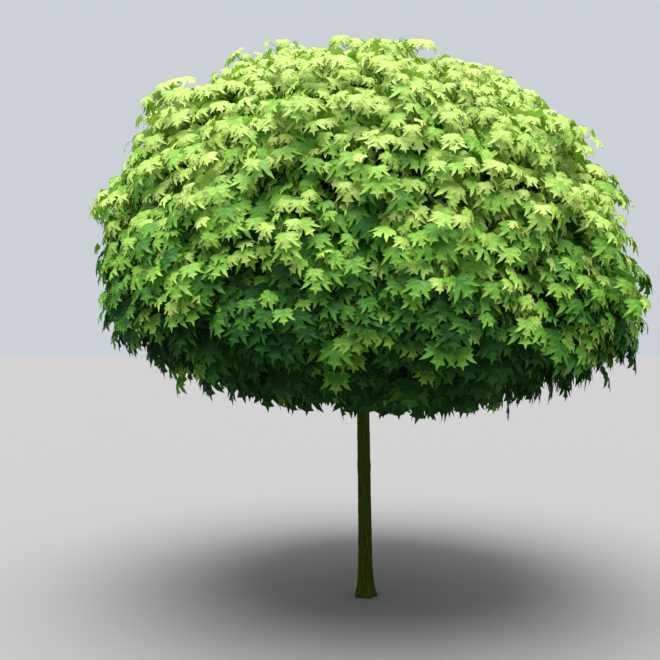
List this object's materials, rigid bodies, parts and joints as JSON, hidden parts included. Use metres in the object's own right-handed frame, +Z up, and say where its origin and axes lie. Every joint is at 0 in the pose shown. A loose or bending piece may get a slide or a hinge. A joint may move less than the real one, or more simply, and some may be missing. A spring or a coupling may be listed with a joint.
{
  "type": "top-grafted globe maple tree",
  "caption": "Slender straight stem that carries a wide, dense, squat globe of lobed leaves on spreading boughs.",
  "frame": {"origin": "centre of the trunk's flat cut at ground level", "axes": "+Z up the trunk, -Y the side that faces the viewer, +X to the viewer's right"},
  "size_m": [3.1095, 3.1303, 3.1989],
  "materials": {
    "bark": "matt, finely furrowed, algae-green",
    "young_bark": "matt, smooth young bark",
    "foliage": "satin leaves"
  },
  "bodies": {
    "root": {"trunk": "bark", "bough_top": "young_bark", "bough_shoulder_1": "young_bark", "bough_shoulder_2": "young_bark", "bough_shoulder_3": "young_bark", "bough_shoulder_4": "young_bark", "bough_shoulder_5": "young_bark", "bough_skirt_1": "young_bark", "bough_skirt_2": "young_bark", "bough_skirt_3": "young_bark", "bough_skirt_4": "young_bark", "bough_skirt_5": "young_bark", "bough_skirt_6": "young_bark", "bough_skirt_7": "young_bark", "foliage_top": "foliage", "foliage_shoulder_1": "foliage", "foliage_shoulder_2": "foliage", "foliage_shoulder_3": "foliage", "foliage_shoulder_4": "foliage", "foliage_shoulder_5": "foliage", "foliage_skirt_1": "foliage", "foliage_skirt_2": "foliage", "foliage_skirt_3": "foliage", "foliage_skirt_4": "foliage", "foliage_skirt_5": "foliage", "foliage_skirt_6": "foliage", "foliage_skirt_7": "foliage"}
  },
  "joints": []
}
